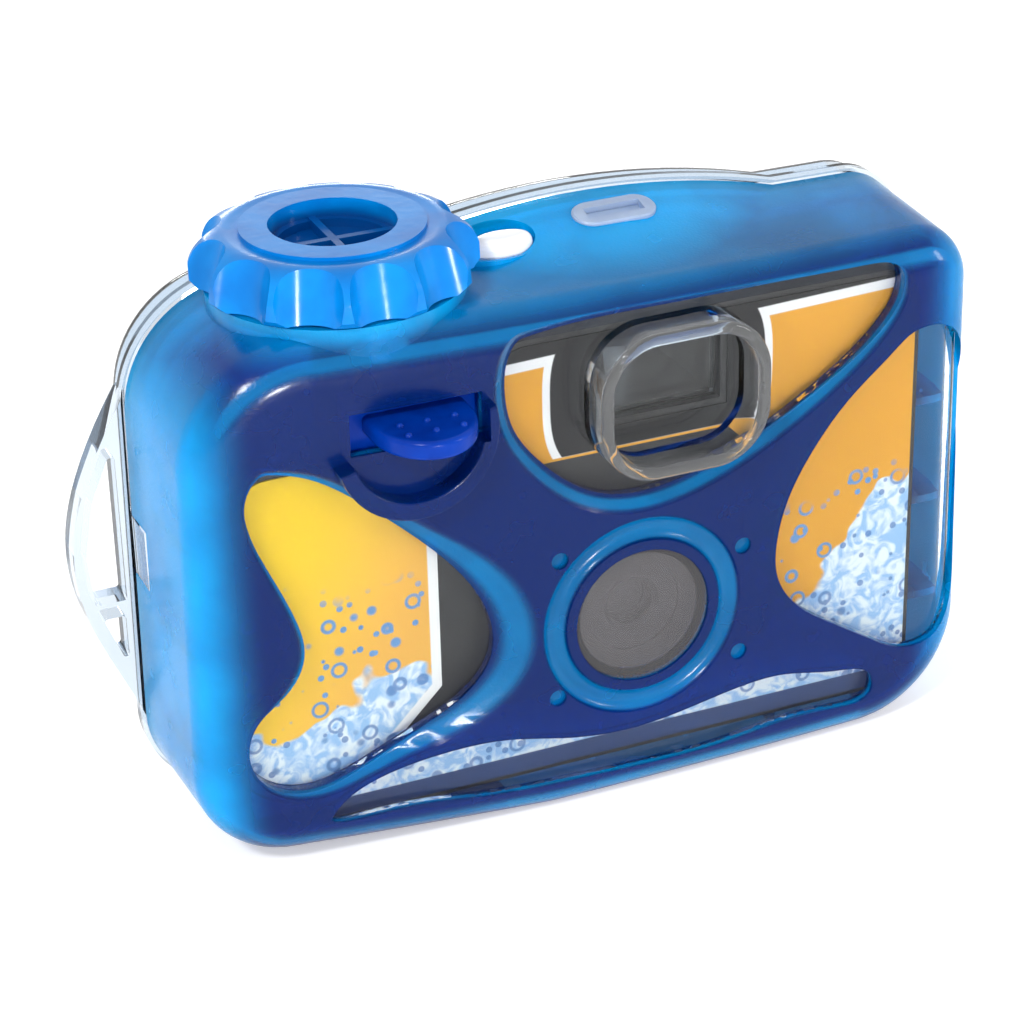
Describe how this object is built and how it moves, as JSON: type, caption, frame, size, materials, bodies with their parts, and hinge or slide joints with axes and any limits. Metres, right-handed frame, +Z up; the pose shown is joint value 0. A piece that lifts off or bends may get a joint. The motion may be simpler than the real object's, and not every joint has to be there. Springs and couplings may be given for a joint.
{
  "type": "disposable film camera",
  "caption": "Pocket film camera in a translucent splash-proof housing with windows, fluted winding knob, finger-shelf trigger and strap loop.",
  "frame": {"origin": "on the flat base, below the middle of the housing's width, 22 mm behind the front of the housing", "axes": "+X to the right seen from the front, +Y from the lens to the back, +Z up"},
  "size_m": [0.1305, 0.0486, 0.0896],
  "materials": {
    "front_shell": "translucent blue, finely frosted",
    "rear_shell": "clear, polished",
    "window": "clear, polished",
    "port_glass": "clear, polished",
    "seal": "matte",
    "knob_plastic": "glossy mid blue",
    "black_plastic": "matte black",
    "cartridge_metal": "painted",
    "film": "glossy brown",
    "card": "printed, lightly glossy",
    "lens_plastic": "clear, polished",
    "blade_metal": "blackened",
    "spring_steel": "bright",
    "white_plastic": "glossy white",
    "trigger_plastic": "glossy deep blue"
  },
  "bodies": {
    "housing": {"front_case": "front_shell", "rear_case": "rear_shell", "left_window": "window", "viewfinder_window": "window", "right_window": "window", "bottom_window": "window", "lens_port": "port_glass", "counter_window": "window", "knob_seal": "seal", "button_seal": "seal", "case_gasket": "seal", "film_cartridge": "cartridge_metal", "film_strip": "film", "camera_front": "black_plastic", "camera_back": "black_plastic", "camera_chassis": "black_plastic", "label_card": "card", "taking_lens": "lens_plastic", "lens_retainer": "black_plastic", "shutter_spring": "spring_steel", "finder_front_lens": "lens_plastic", "finder_rear_lens": "lens_plastic", "pressure_plate": "blade_metal", "trigger_spring": "spring_steel"},
    "winder": {"wind_knob": "knob_plastic", "wind_shaft": "black_plastic", "thumbwheel": "black_plastic", "cartridge_spool": "black_plastic"},
    "film_supply": {"film_roll": "film", "roll_spindle": "black_plastic"},
    "sprocket": {"sprocket_wheel": "white_plastic"},
    "counter": {"counter_dial": "white_plastic"},
    "trigger": {"shutter_trigger": "trigger_plastic", "shutter_button": "white_plastic"},
    "release": {"release_button": "black_plastic"},
    "shutter": {"shutter_blade": "blade_metal"}
  },
  "joints": [
    {"name": "knob_turn", "type": "hinge", "parent": "housing", "child": "winder", "pos_m": [-0.0313, -0.0025, 0.082], "axis": [0, 0, 1], "continuous": true},
    {"name": "film_turn", "type": "hinge", "parent": "housing", "child": "film_supply", "pos_m": [0.0374, -0.002, 0.0298], "axis": [0, 0, 1], "continuous": true},
    {"name": "sprocket_turn", "type": "hinge", "parent": "housing", "child": "sprocket", "pos_m": [-0.008, 0.0032, 0.0454], "axis": [0, 0, 1], "continuous": true},
    {"name": "counter_turn", "type": "hinge", "parent": "housing", "child": "counter", "pos_m": [0.0114, -0.0057, 0.0714], "axis": [0, 0, 1], "continuous": true},
    {"name": "shutter_press", "type": "slide", "parent": "housing", "child": "trigger", "axis": [0, 0, -1], "range_m": [0, 0.0016], "stiffness_N_per_m": 800, "springref_m": -0.001, "deforming": ["trigger_spring"]},
    {"name": "release_press", "type": "slide", "parent": "housing", "child": "release", "axis": [0, 0, -1], "range_m": [0, 0.0016]},
    {"name": "shutter_swing", "type": "hinge", "parent": "housing", "child": "shutter", "pos_m": [0.0136, -0.0107, 0.0365], "axis": [0, 1, 0], "range_deg": [0, 30], "stiffness_Nm_per_rad": 0.002, "springref_deg": -5.73}
  ],
  "couplings": [
    {"joint": "film_turn", "follows": "knob_turn", "ratio": 0.6667},
    {"joint": "sprocket_turn", "follows": "knob_turn", "ratio": 1.157},
    {"joint": "counter_turn", "follows": "knob_turn", "ratio": 0.0289},
    {"joint": "release_press", "follows": "shutter_press", "ratio": 1}
  ]
}
